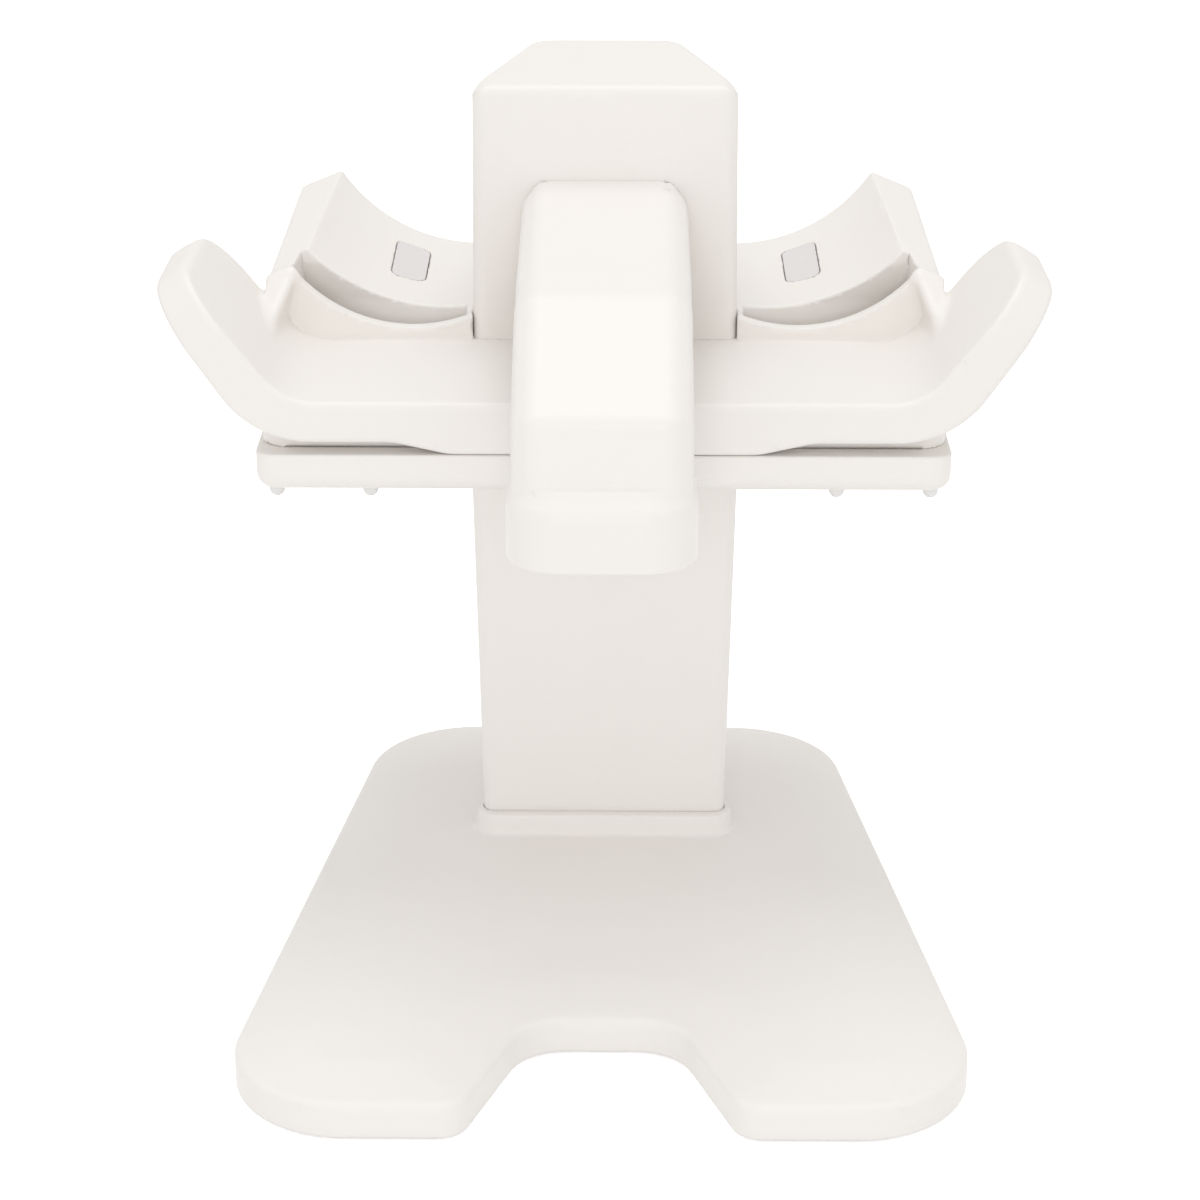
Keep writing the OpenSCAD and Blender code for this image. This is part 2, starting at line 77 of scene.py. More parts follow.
BASE_CORNERS = [(-39.2, -163, 9), (-22, -116.5, 17), (22, -116.5, 17), (39.2, -163, 9),
                (110.9, -163, 34), (76.6, 86, 36), (-76.6, 86, 36), (-110.9, -163, 34)]

# A mesh is worked out in blocks of cells, and finely only in those that the surface may pass.
BLOCK = 8
HALF_DIAGONAL = 0.87
SAFETY = 1.25
BAND = 3
BLOCKS_AT_ONCE = 1500
DRAW_STEP = 0.05
NORMAL_STEP = 0.12


def rounded_cut(a, b, r):
    """Distance to what lies inside both a and b, with a fillet of radius r on their edge."""
    return np.minimum(-r, np.maximum(a, b)) + np.hypot(np.maximum(r + a, 0), np.maximum(r + b, 0))


def rounded_join(a, b, r):
    """Distance to what lies inside a or b, with a fillet of radius r in their corner."""
    return -rounded_cut(-a, -b, r)


def carve(a, b, r):
    """Distance to a with b cut out of it and the edge rounded."""
    return rounded_cut(a, -b, r)


def outline_distance(u, v, corners, reach=6.0):
    """Distance to a closed outline of (u, v, radius) corners, listed against the clock."""
    c = np.array([k[:2] for k in corners])
    n = len(c)
    best = np.full(np.shape(u), np.inf)
    inside = np.zeros(np.shape(u), bool)
    for i in range(n):
        a, b = c[i], c[(i + 1) % n]
        e = b - a
        t = np.clip(((u - a[0]) * e[0] + (v - a[1]) * e[1]) / (e @ e), 0, 1)
        best = np.minimum(best, np.hypot(u - a[0] - t * e[0], v - a[1] - t * e[1]))
        if e[1]:
            inside ^= ((a[1] > v) != (b[1] > v)) & (u < a[0] + (v - a[1]) * e[0] / e[1])
    d = np.where(inside, -best, best)
    for i in range(n):
        r = corners[i][2]
        e = (c[i] - c[i - 1]) / np.linalg.norm(c[i] - c[i - 1])
        f = (c[(i + 1) % n] - c[i]) / np.linalg.norm(c[(i + 1) % n] - c[i])
        turn = math.atan2(e[0] * f[1] - e[1] * f[0], e @ f)
        side = 1 if turn > 0 else -1
        centre = c[i] - e * r * math.tan(abs(turn) / 2) + side * r * np.array([-e[1], e[0]])
        du, dv = u - centre[0], v - centre[1]
        far = np.hypot(du, dv)
        sector = (du * e[0] + dv * e[1] > 0) & (du * f[0] + dv * f[1] < 0)
        # an inner corner's arc holds only near its own radius
        sector &= (far > r - reach) & (far < r + reach) if side < 0 else far > r - reach
        d = np.where(sector, side * (far - r), d)
    return d


def moulded(name, distance, low, high, step, adaptivity=0.05):
    """Mesh of a moulded piece from its distance function, its points drawn on to the true surface."""
    low = np.array(low, float) - BAND * step
    count = np.ceil((np.array(high, float) + BAND * step - low) / step).astype(int)
    count = (count + BLOCK - 1) // BLOCK * BLOCK
    reach = BAND * step
    axes = [low[k] + step * np.arange(count[k]) for k in range(3)]
    mids = [a.reshape(-1, BLOCK).mean(axis=1) for a in axes]
    mx, my, mz = np.meshgrid(*mids, indexing="ij")
    coarse = distance(mx.ravel(), my.ravel(), mz.ravel()).reshape(mx.shape)
    near = np.abs(coarse) < SAFETY * BLOCK * step * HALF_DIAGONAL + reach
    plain = np.where(coarse < 0, -reach, reach).astype(np.float32)
    field = np.empty(count, np.float32)
    field[:] = np.kron(plain, np.ones((BLOCK,) * 3, np.float32))
    spots = np.argwhere(near)
    offs = np.stack(np.meshgrid(*[np.arange(BLOCK)] * 3, indexing="ij"), -1).reshape(-1, 3)
    for part in np.array_split(spots, max(1, len(spots) // BLOCKS_AT_ONCE)):
        idx = (part[:, None, :] * BLOCK + offs[None]).reshape(-1, 3)
        p = low + step * idx
        fine = distance(p[:, 0], p[:, 1], p[:, 2])
        field[idx[:, 0], idx[:, 1], idx[:, 2]] = np.clip(fine, -reach, reach)
    grid = openvdb.FloatGrid(reach)
    grid.copyFromArray(field)
    points, tris, quads = grid.convertToPolygons(0.0, adaptivity)
    p = low + step * np.array(points, float)

    def slope(q, eps):
        g = np.empty_like(q)
        for k in range(3):
            a, b = q.copy(), q.copy()
            a[:, k] += eps
            b[:, k] -= eps
            g[:, k] = distance(*a.T) - distance(*b.T)
        return g / np.maximum(np.linalg.norm(g, axis=1, keepdims=True), 1e-9)

    for _ in range(2):
        p -= slope(p, DRAW_STEP) * np.clip(distance(*p.T), -step, step)[:, None]
    faces = [tuple(int(i) for i in f) for kind in (tris, quads) for f in kind]
    normals = slope(p, NORMAL_STEP)
    mesh = bpy.data.meshes.new(name)
    place = (p + [0, COLUMN_FRONT, 0]) / MM_PER_M
    mesh.from_pydata(place.tolist(), [], faces)
    first = mesh.polygons[len(faces) // 2]
    if Vector(normals[first.vertices[0]]).dot(first.normal) < 0:
        mesh.flip_normals()
    mesh.polygons.foreach_set("use_smooth", np.ones(len(mesh.polygons), bool))
    mesh.normals_split_custom_set_from_vertices(normals.tolist())
    piece = bpy.data.objects.new(name, mesh)
    bpy.context.scene.collection.objects.link(piece)
    return piece


def column_corners(w, front=0.0, back=COLUMN_D, more_r=0.0):
    """Outline of the column's kind: w wide in front, narrower behind, with rounder corners there."""
    b = w * BACK_SHARE / 2
    front_r, back_r = FRONT_CORNER_R + more_r, BACK_CORNER_R + more_r
    return [(-w / 2, front, front_r), (w / 2, front, front_r), (b, back, back_r), (-b, back, back_r)]


def base_distance(x, y, z):
    plan = outline_distance(x, y, BASE_CORNERS, reach=30)
    fall = BORDER_DROP / (BORDER_W - BASE_EDGE_R)
    border = (z - BASE_TOP + BORDER_DROP + (plan + BASE_EDGE_R) * fall) / math.hypot(1, fall)
    body = rounded_cut(plan, np.maximum(border, z - BASE_TOP), BASE_TOP_R)
    body = rounded_cut(body, BASE_LOW - z, BASE_FOOT_R)

    collar_plan = outline_distance(x, y, column_corners(FOOT_W + COLLAR_MORE_W, -COLLAR_AHEAD,
                                                        COLUMN_D + COLLAR_BEHIND, COLLAR_MORE_R))
    collar = (collar_plan - COLLAR_LEAN * (BASE_TOP + COLLAR_H - z)) / math.hypot(1, COLLAR_LEAN)
    collar = rounded_cut(collar, z - BASE_TOP - COLLAR_H, COLLAR_TOP_R)
    collar = np.maximum(collar, BASE_TOP - COLLAR_DEPTH - z)
    body = rounded_join(body, collar, COLLAR_ROOT_R)

    # the wall stays even under the border, so the hollow's roof steps down to the edge
    roof = np.where(plan < -BORDER_W / 2, BORDER_ROOF, EDGE_ROOF)
    roof = np.where(plan < -BORDER_W, BASE_TOP - WALL, roof)
    body = np.maximum(body, -np.maximum(plan + WALL, z - roof))
    socket = np.maximum(outline_distance(x, y, column_corners(FOOT_W)) - GAP, BASE_TOP - z)
    return carve(body, socket, SOCKET_EDGE_R)


class Socket:
    """A shader value: expressions on it add Math nodes."""

    def __init__(self, tree, out):
        self.tree, self.out = tree, out

    def maths(self, kind, a, b):
        node = self.tree.nodes.new("ShaderNodeMath")
        node.operation = kind
        for slot, value in zip(node.inputs, (a, b)):
            if isinstance(value, Socket):
                self.tree.links.new(value.out, slot)
            else:
                slot.default_value = value
        return Socket(self.tree, node.outputs[0])

    def __add__(self, other):
        return self.maths("ADD", self, other)

    def __mul__(self, other):
        return self.maths("MULTIPLY", self, other)

    __radd__ = __add__
    __rmul__ = __mul__


class Finish:
    """A material with one surface shader, and a method that adds any other node."""

    def __init__(self, name, **fixed):
        self.material = bpy.data.materials.new(name)
        self.material.use_nodes = True
        self.tree = self.material.node_tree
        self.shader = self.tree.nodes["Principled BSDF"]
        for socket, value in fixed.items():
            self.shader.inputs[socket.replace("_", " ")].default_value = value

    def node(self, kind, settings=None, out=0, **sockets):
        """Add a node: its settings first, then its sockets by name, or i and a number."""
        node = self.tree.nodes.new("ShaderNode" + kind)
        for key, value in (settings or {}).items():
            setattr(node, key, value)
        for key, value in sockets.items():
            key = int(key[1:]) if key[0] == "i" and key[1:].isdigit() else key.replace("_", " ")
            if isinstance(value, Socket):
                self.tree.links.new(value.out, node.inputs[key])
            else:
                node.inputs[key].default_value = value
        return Socket(self.tree, node.outputs[out])

    def where(self):
        """The place on the object, in metres."""
        return self.node("TexCoord", out=3)

    def tone(self, share, dark, light):
        """A colour that varies from dark to light with share."""
        return self.node("Mix", {"data_type": "RGBA"}, out=2, i0=share, i6=(*dark, 1), i7=(*light, 1))

    def feed(self, socket, value):
        self.tree.links.new(value.out, self.shader.inputs[socket])


CLOUD_SCALE = 9.0
CLOUD_SHARE = 0.7
PATCH_SCALE = 38.0
PATCH_SHARE = 0.3
DULLER = 0.10
SKIN_DEPTH = 0.00003


def satin_plastic(name, light, dark, rough, grain_mm, grain, gloss=0.4):
    """Satin moulded plastic: a spark-eroded skin, faint flow clouding and a few duller patches."""
    finish = Finish(name, IOR=1.47, Specular_IOR_Level=gloss)
    where = finish.where()
    cloud = finish.node("TexNoise", Vector=where, Scale=CLOUD_SCALE, Detail=2.0, Roughness=0.5)
    patch = finish.node("TexNoise", Vector=where, Scale=PATCH_SCALE, Detail=3.0, Roughness=0.6)
    finish.feed("Base Color", finish.tone(cloud * CLOUD_SHARE + patch * PATCH_SHARE, dark, light))
    finish.feed("Roughness", patch * DULLER + (rough - DULLER / 2))
    skin = finish.node("TexNoise", Vector=where, Scale=MM_PER_M / grain_mm, Detail=2.0, Roughness=0.6)
    finish.feed("Normal", finish.node("Bump", Strength=grain, Distance=SKIN_DEPTH, Height=skin))
    return finish.material


def dress(piece, material, slot, *nodes):
    """Give a new piece its material, hang it under the root body and hide the CAD nodes it stands for."""
    piece.data.materials.append(material)
    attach(piece, "root")
    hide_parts(*nodes)


WHITE = satin_plastic("white_shell", (0.880, 0.850, 0.815), (0.850, 0.820, 0.785),
                      rough=0.46, grain_mm=0.35, grain=0.35)
base = moulded("base_moulding", base_distance, (-112, -163, 0), (112, 86, 22), step=0.8)
dress(base, WHITE, "white_shell", "base_shell")


# Column: a hollow tube of the same white plastic, wider in front than behind and growing wider
# towards its top. It stands in the base's collar, and screws hold it from below.
COLUMN_TOP_W = 86.7
COLUMN_END_R = 0.3
PLATE_BOTTOM = 156.0


def drafted_plan(x, y, z, foot_w, top_w, low, high):
    """Width of a drafted tube at height z, and the distance to its outline there."""
    w = foot_w + (top_w - foot_w) * (z - low) / (high - low)
    return w, outline_distance(x * foot_w / w, y, column_corners(foot_w))


def column_distance(x, y, z):
    _, plan = drafted_plan(x, y, z, FOOT_W, COLUMN_TOP_W, BASE_TOP, PLATE_BOTTOM)
    tube = np.maximum(plan, -plan - WALL)
    return rounded_cut(tube, np.maximum(BASE_TOP - z, z - PLATE_BOTTOM), COLUMN_END_R)


column = moulded("column_moulding", column_distance, (-45, 0, BASE_TOP), (45, COLUMN_D, PLATE_BOTTOM),
                 step=0.8)
dress(column, WHITE, "white_shell", "column_tube")


# Lower plate of the tray: a shallow white box screwed on top of the column, its lower edge rounded.
# Six screws go up through it, and four soft pegs are pressed into it. Its lid closes it where
# the gap under the shelf bar would show the inside.
PLATE_TOP = 167.5
PLATE_HALF_W = 101.6
PLATE_LOW_R = 4.5
PLATE_TOP_R = 0.7
PLATE_LID = 1.8
SHELF_REACH = 61.0
CRADLE_D = 85.0
TRAY_SCREWS = [(88, -20), (90, 70), (52, 30)]
POST_R = 4.6
POST_LOW = 1
SCREW_BORE_R = 1.7
SCREW_HEAD_R = 3.2
SCREW_HEAD_DEPTH = 5
SCREW_EDGE_R = 0.2
PEGS = [(96.2, -52), (68.6, -52)]
PEG_BORE_R = 2.3
PEG_BORE_DEPTH = 8
# Mirrored pieces are worked out for one side, in outlines that run on past the middle to here.
PAST_MIDDLE = -50
PLATE_PLAN = [(PAST_MIDDLE, -SHELF_REACH, 1), (PLATE_HALF_W, -SHELF_REACH, 6),
              (PLATE_HALF_W, CRADLE_D, 8), (PAST_MIDDLE, CRADLE_D, 1)]


def plate_distance(x, y, z):
    x = np.abs(x)
    plan = outline_distance(x, y, PLATE_PLAN)
    box = rounded_cut(rounded_cut(plan, PLATE_BOTTOM - z, PLATE_LOW_R), z - PLATE_TOP, PLATE_TOP_R)
    height = np.maximum(PLATE_BOTTOM + WALL - z, z - PLATE_TOP + PLATE_LID)
    box = np.maximum(box, -np.maximum(plan + WALL, height))
    for sx, sy in TRAY_SCREWS:
        away = np.hypot(x - sx, y - sy)
        post = np.maximum(np.maximum(away - POST_R, z - PLATE_TOP), PLATE_BOTTOM + POST_LOW - z)
        box = np.minimum(box, post)
        seat = np.maximum(away - SCREW_HEAD_R, z - PLATE_BOTTOM - SCREW_HEAD_DEPTH)
        box = carve(box, np.minimum(away - SCREW_BORE_R, seat), SCREW_EDGE_R)
    for sx, sy in PEGS:
        bore = np.maximum(np.hypot(x - sx, y - sy) - PEG_BORE_R, z - PLATE_BOTTOM - PEG_BORE_DEPTH)
        box = np.maximum(box, -bore)
    return box


plate = moulded("tray_lower_moulding", plate_distance, (-102, -61, PLATE_BOTTOM), (102, 85, PLATE_TOP),
                step=0.7)
dress(plate, WHITE, "white_shell", "tray_lower_plate")


# Upper shell of the tray: one deep moulding in the white plastic. The shelf bar bends up into a
# wing at each end, and behind it stand the cradles, a trough each, with an arched front wall and
# a slot behind that. Six screws hold it from below.
SHELF_TOP = 183.5
BAR_BOTTOM = 171.1
BAR_EDGE_R = 1.6
BAR_OVERLAP = 0.5
SEAM_R = 0.8
RISE_X = 92.2
UNDER_X = 101.4
WING_RISE = math.radians(52.1)
UNDER_RISE = math.radians(56.1)
WING_LEN = 46.0
LIP_Z = 216.2
TIP_R = 3.6
TIP_TOP = (RISE_X + WING_LEN * math.cos(WING_RISE), SHELF_TOP + WING_LEN * math.sin(WING_RISE))
TIP_LOW = (UNDER_X + (LIP_Z - BAR_BOTTOM) / math.tan(UNDER_RISE), LIP_Z)
BAR_PROFILE = [(-60, PLATE_TOP, 1), (45, PLATE_TOP, 20), (61, BAR_BOTTOM, 20),
               (UNDER_X, BAR_BOTTOM, 31), (*TIP_LOW, TIP_R), (*TIP_TOP, TIP_R),
               (RISE_X, SHELF_TOP, 19), (-60, SHELF_TOP, 1)]
END_RISE = (WING_RISE + UNDER_RISE) / 2
END_R = 21.0
END_START = 12
SKIRT_PLAN = [(PAST_MIDDLE, -54, 1), (100.4, -54, 8), (100.4, 2, 1), (PAST_MIDDLE, 2, 1)]
SKIRT_TOP = 175

# The block of the cradles: the land on its top slopes two ways, and its inner rim is level.
BLOCK_PLAN = [(PAST_MIDDLE, 0, 1), (103, 0, 2), (101, CRADLE_D, 2.2), (PAST_MIDDLE, CRADLE_D, 1)]
BLOCK_EDGE_R = 1.4
BLOCK_LIMIT = 220
LAND_X = 101
LAND_Z = 203.5
LAND_NORMAL = (0.3787, -0.0645, 0.9233)
INNER_RIM_X = 55
INNER_RIM_Z = 194.5
TROUGH_X = 52.7
SADDLE_Y = 9.0
TROUGH_FLOOR = 190.5
TROUGH_R = 53.0
TROUGH_TOE = math.radians(8)
TROUGH_EDGE_R = 0.9
ARCH_X = 59
ARCH_Z = 233.2
ARCH_R = 46
ARCH_BACK = 5.6
ARCH_EDGE_R = 0.7
SADDLE_LEAN = 0.27
SADDLE_UNDERCUT = 3.4
SADDLE_LEAN_LENGTH = 1.036
SLOT_ACROSS = 41.5
SLOT_FRONT = 4.6
SLOT_INNER_X = 42.75
SLOT_FLOOR = 174
SLOT_FLOOR_R = 0.8
SLOT_EDGE_R = 0.9

# The wing's root: two faces, a steep one to the middle and one that falls like the land.
ROOT_X = 103
ROOT_LOW = 184
ROOT_BACK = 1
ROOT_FACE_X = 98.5
ROOT_FACE_Z = 187
ROOT_FACE_TILT = (0.966, 0.12, 0.26)
ROOT_TOP_X = 93.4
ROOT_TOP_Z = 206.0
ROOT_TOP_FALL = (0.41, 0.42)
ROOT_TOP_LENGTH = 1.16
ROOT_CREST_R = 4.0
ROOT_R = 2.5

# The hollow below the cradles, the lower one below the head, and the head's seat between them.
HOLLOW_X = 98.6
HOLLOW_FRONT = 20
HOLLOW_BACK = 82.6
HOLLOW_ROOF = 186.5
CORE_X = 36
CORE_ROOF = 181.1
SEAT_X = 43.75
SEAT_BACK = 72
HEAD_FOOT_W = 83.5
POCKET_CORNER_X = 40.3
POCKET_CORNER_Y = 5
POCKET_EDGE_R = 0.4
INLAY_X = 62.8
INLAY_Y = 36.0
INLAY_LEN = 32.0
INLAY_HALF_W = 5.3
INLAY_CORNER_R = 3.4
INLAY_DEPTH = 1.6
RECESS_LOW = 178


def along_wing(x, z):
    return (x - RISE_X) * math.cos(END_RISE) + (z - SHELF_TOP) * math.sin(END_RISE)


TIP_OUT = max(along_wing(TIP_LOW[0] - TIP_R, TIP_LOW[1]), along_wing(TIP_TOP[0], TIP_TOP[1] - TIP_R))


def trough_frame(x, y):
    """Place across and along the trough, whose axis turns out to the front."""
    c, s = math.cos(TROUGH_TOE), math.sin(TROUGH_TOE)
    return (x - TROUGH_X) * c + (y - SADDLE_Y) * s, (y - SADDLE_Y) * c - (x - TROUGH_X) * s


def trough_distance(x, y, z):
    across, _ = trough_frame(x, y)
    return np.hypot(across, z - TROUGH_FLOOR - TROUGH_R) - TROUGH_R


def inlay_plan(x, y, gap):
    left, right = INLAY_X - INLAY_HALF_W - gap, INLAY_X + INLAY_HALF_W + gap
    front, back = INLAY_Y - gap, INLAY_Y + INLAY_LEN + gap
    corners = [(left, front), (right, front), (right, back), (left, back)]
    return outline_distance(x, y, [(*place, INLAY_CORNER_R) for place in corners])


def bar_distance(x, y, z):
    """The shelf bar with its wings and the skirt below it."""
    profile = outline_distance(x, z, BAR_PROFILE, reach=7)
    along = along_wing(x, z)
    qx = np.maximum(along - (TIP_OUT - END_R), 0)
    qy = np.maximum(np.abs(y + SHELF_REACH / 2) - (SHELF_REACH / 2 - END_R), 0)
    ends = np.hypot(qx, qy) - END_R
    ends = np.where((qx == 0) & (qy == 0), -END_R, ends)
    # short of the wings the bar is a plain slab that runs on into the block
    slab = np.where(along < END_START, np.maximum(-SHELF_REACH - y, y - BAR_OVERLAP), ends)
    bar = rounded_cut(profile, slab, BAR_EDGE_R)
    skirt = np.maximum(outline_distance(x, y, SKIRT_PLAN), np.maximum(PLATE_TOP - z, z - SKIRT_TOP))
    return rounded_join(bar, skirt, SEAM_R)


def block_distance(x, y, z):
    """The block of the cradles, with trough, arch and slot cut out of it."""
    plan = outline_distance(x, y, BLOCK_PLAN)
    nx, ny, nz = LAND_NORMAL
    land = nx * (x - LAND_X) + ny * y + nz * (z - LAND_Z)
    top = np.minimum(z - INNER_RIM_Z, np.maximum(INNER_RIM_X - x, z - BLOCK_LIMIT))
    block = np.maximum(rounded_cut(plan, land, BLOCK_EDGE_R), top)
    block = np.maximum(block, PLATE_TOP - z)
    block = carve(block, trough_distance(x, y, z), TROUGH_EDGE_R)
    arch = np.maximum(np.hypot(x - ARCH_X, z - ARCH_Z) - ARCH_R, y - ARCH_BACK)
    block = carve(block, arch, ARCH_EDGE_R)
    across, ahead = trough_frame(x, y)
    ahead = (ahead - np.clip((LAND_Z - z) * SADDLE_LEAN, 0, SADDLE_UNDERCUT)) / SADDLE_LEAN_LENGTH
    slot = np.maximum(np.maximum(ahead, across - SLOT_ACROSS),
                      np.maximum(SLOT_FRONT - y, SLOT_INNER_X - x))
    slot = rounded_cut(slot, SLOT_FLOOR - z, SLOT_FLOOR_R)
    return carve(block, slot, SLOT_EDGE_R)


def root_distance(x, y, z):
    """The swelling between a wing and the land."""
    root = np.maximum(np.maximum(x - ROOT_X, ROOT_LOW - z), y - ROOT_BACK)
    tx, ty, tz = ROOT_FACE_TILT
    lean = (ROOT_FACE_X - x) * tx - (z - ROOT_FACE_Z) * tz + (-y - ROOT_BACK) * ty
    fx, fy = ROOT_TOP_FALL
    slope = (z - ROOT_TOP_Z + (x - ROOT_TOP_X) * fx - y * fy) / ROOT_TOP_LENGTH
    return np.maximum(root, rounded_cut(lean, slope, ROOT_CREST_R))


def tray_distance(x, y, z):
    x = np.abs(x)
    whole = rounded_join(bar_distance(x, y, z), block_distance(x, y, z), SEAM_R)
    whole = rounded_join(whole, root_distance(x, y, z), ROOT_R)

    cradle = np.maximum(np.maximum(x - HOLLOW_X, HOLLOW_FRONT - y),
                        np.maximum(y - HOLLOW_BACK, z - HOLLOW_ROOF))
    core = np.maximum(np.maximum(x - CORE_X, WALL - y), np.maximum(y - HOLLOW_BACK, z - CORE_ROOF))
    seat = np.maximum(np.maximum(x - SEAT_X, y - SEAT_BACK), CORE_ROOF - z)
    whole = np.maximum(whole, -np.maximum(np.minimum(cradle, core), -seat))

    foot = outline_distance(x, y, column_corners(HEAD_FOOT_W))
    pocket = np.minimum(foot, np.maximum(x - POCKET_CORNER_X, y - POCKET_CORNER_Y))
    whole = carve(whole, np.maximum(pocket - GAP, SHELF_TOP - z), POCKET_EDGE_R)
    recess = np.maximum(inlay_plan(x, y, GAP), trough_distance(x, y, z) - INLAY_DEPTH)
    return np.maximum(whole, -np.maximum(recess, RECESS_LOW - z))


tray = moulded("tray_upper_moulding", tray_distance, (-130, -61, 167), (130, 85, 222),
               step=0.6, adaptivity=0.02)
dress(tray, WHITE, "white_shell", "tray_upper_shell")


# Head: a deep cap of the white plastic on the column's line, parted from the column by the tray.
# Its front edge is small and its side edges are rounder. Four screws hold it from below.
HEAD_TOP_W = 81.8
HEAD_TOP = 262.0
HEAD_FRONT_R = 2.2
HEAD_SIDE_R = 7.0
HEAD_DEPTH = 0.4
HEAD_FOOT_R = 0.3


def head_distance(x, y, z):
    w, plan = drafted_plan(x, y, z, HEAD_FOOT_W, HEAD_TOP_W, SHELF_TOP, HEAD_TOP)
    top = z - HEAD_TOP
    sides = rounded_cut(np.abs(x) - w / 2, top, HEAD_SIDE_R)
    cap = np.maximum(rounded_cut(plan, top, HEAD_FRONT_R), sides)
    cap = np.maximum(cap, -np.maximum(plan + WALL, top + WALL))
    return rounded_cut(cap, SHELF_TOP - HEAD_DEPTH - z, HEAD_FOOT_R)


head = moulded("head_moulding", head_distance, (-43, 0, SHELF_TOP), (43, COLUMN_D, HEAD_TOP), step=0.7)
dress(head, WHITE, "white_shell", "head_hood")


# Headset arm: a white moulding screwed to the head, level at first, then turning down to a broad
# end block. Its top edges are bevelled and rounded, the lower ones small. The real one is hollow
# over its cover, and here it is made solid.
ARM_HALF = 25.0
ARM_UPPER = [(0, 233.5, 0.1), (-79, 221.4, 8), (-117.5, 198.3, 4), (-121.4, 165, 0.1), (0, 165, 0.1)]
ARM_LOWER = [(0, 205, 0.1), (0, 260, 0.1), (-150, 260, 0.1), (-150, 168, 0.1), (-97, 168, 0.1),
             (-95.5, 179.2, 6), (-72.5, 196.5, 10)]
ARM_BEVEL = 5.2
ARM_BEVEL_R = 1.6
ARM_LOW_R = 1.2
NOSE_HALF = 26.4
NOSE_REACH = 126.0
NOSE_PLAN = [(-30, -NOSE_REACH, 1), (NOSE_HALF, -NOSE_REACH, 15), (NOSE_HALF, -97, 3), (-30, -97, 1)]
NOSE_LOW = 156.5
NOSE_HIGH = 174.3
NOSE_CROWN = 5.1
NOSE_FALL = 1.085
NOSE_SLOPE_R = 0.8
NOSE_EDGE_R = 1.0
NOSE_SEAM_R = 0.6


def arm_distance(x, y, z):
    x = np.abs(x)
    upper = outline_distance(y, z, ARM_UPPER)
    lower = outline_distance(y, z, ARM_LOWER)
    wide = x - ARM_HALF
    bevel = (upper + wide + ARM_BEVEL) / math.sqrt(2)
    top = rounded_cut(np.maximum(upper, wide), bevel, ARM_BEVEL_R)
    beam = np.maximum(np.maximum(top, rounded_cut(lower, wide, ARM_LOW_R)), y)
    plan = outline_distance(x, y, NOSE_PLAN)
    slope = (z - NOSE_HIGH + plan * NOSE_FALL) / math.hypot(1, NOSE_FALL)
    ends = np.maximum(NOSE_LOW - z, z - NOSE_HIGH - NOSE_CROWN)
    nose = rounded_cut(rounded_cut(plan, slope, NOSE_SLOPE_R), ends, NOSE_EDGE_R)
    return rounded_join(beam, nose, NOSE_SEAM_R)


arm = moulded("arm_moulding", arm_distance, (-27, -126, 156), (27, 0, 234), step=0.6)
dress(arm, WHITE, "white_shell", "headset_arm")


# Cradle inlays: two thin strips of smooth pale grey plastic. They are glued flush into the troughs,
# with a hairline gap all round.
INLAY_BED = 0.05
INLAY_EDGE_R = 0.15


def inlay_distance(x, y, z):
    trough = trough_distance(x, y, z)
    depth = np.maximum(-trough, trough - INLAY_DEPTH + INLAY_BED)
    return rounded_cut(inlay_plan(x, y, 0.0), depth, INLAY_EDGE_R)


GREY = satin_plastic("grey_inlay", (0.76, 0.735, 0.73), (0.735, 0.71, 0.705),
                     rough=0.42, grain_mm=0.8, grain=0.08, gloss=0.5)
right = moulded("inlay_right", inlay_distance, (57, 35.5, 186), (69, 68.5, 196), step=0.3, adaptivity=0.0)
left = moulded("inlay_left", lambda x, y, z: inlay_distance(-x, y, z), (-69, 35.5, 186),
               (-57, 68.5, 196), step=0.3, adaptivity=0.0)
dress(right, GREY, "grey_inlay", "cradle_pad_right")
dress(left, GREY, "grey_inlay", "cradle_pad_left")


# Hook pegs: four soft milky pegs of one turned shape, each with a head below and a barb above.
# They are pressed up into the lower plate.
SOFT_PATCH_SCALE = 160.0
SOFT_SHADE = 0.95
SOFT_DULLER = 0.12
SOFT_DEPTH = 0.00004


def soft_finish(name, colour, rough, sheen):
    """Soft plastic or rubber: slightly uneven in tone and gloss, with a faint bloom."""
    finish = Finish(name, IOR=1.45, Sheen_Weight=sheen)
    patch = finish.node("TexNoise", Vector=finish.where(), Scale=SOFT_PATCH_SCALE, Detail=3.0)
    finish.feed("Base Color", finish.tone(patch, [c * SOFT_SHADE for c in colour], colour))
    finish.feed("Roughness", patch * SOFT_DULLER + (rough - SOFT_DULLER / 2))
    finish.feed("Normal", finish.node("Bump", Strength=0.3, Distance=SOFT_DEPTH, Height=patch))
    return finish.material


def keep(material, *names):
    """Leave CAD nodes as they are and give them a material."""
    for name in names:
        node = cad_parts[name]
        node.data.materials.clear()
        node.data.materials.append(material)


PEG = soft_finish("clear_peg", (0.80, 0.79, 0.78), rough=0.42, sheen=0.1)
keep(PEG, "hook_peg_outer_left", "hook_peg_inner_left", "hook_peg_inner_right", "hook_peg_outer_right")


# Foot pads: four turned discs of grey rubber. They are glued in shallow seats under the base
# and stand a little proud of it, so that the stand rests on them.
RUBBER = soft_finish("foot_rubber", (0.13, 0.13, 0.13), rough=0.75, sheen=0.2)
keep(RUBBER, "foot_pad_front_left", "foot_pad_front_right", "foot_pad_rear_left", "foot_pad_rear_right")


# Bottom plate and arm cover: plain flat mouldings in the white plastic of the shells. They close
# the base and the arm from below and are screwed on.
keep(WHITE, "base_bottom_plate", "arm_cover")


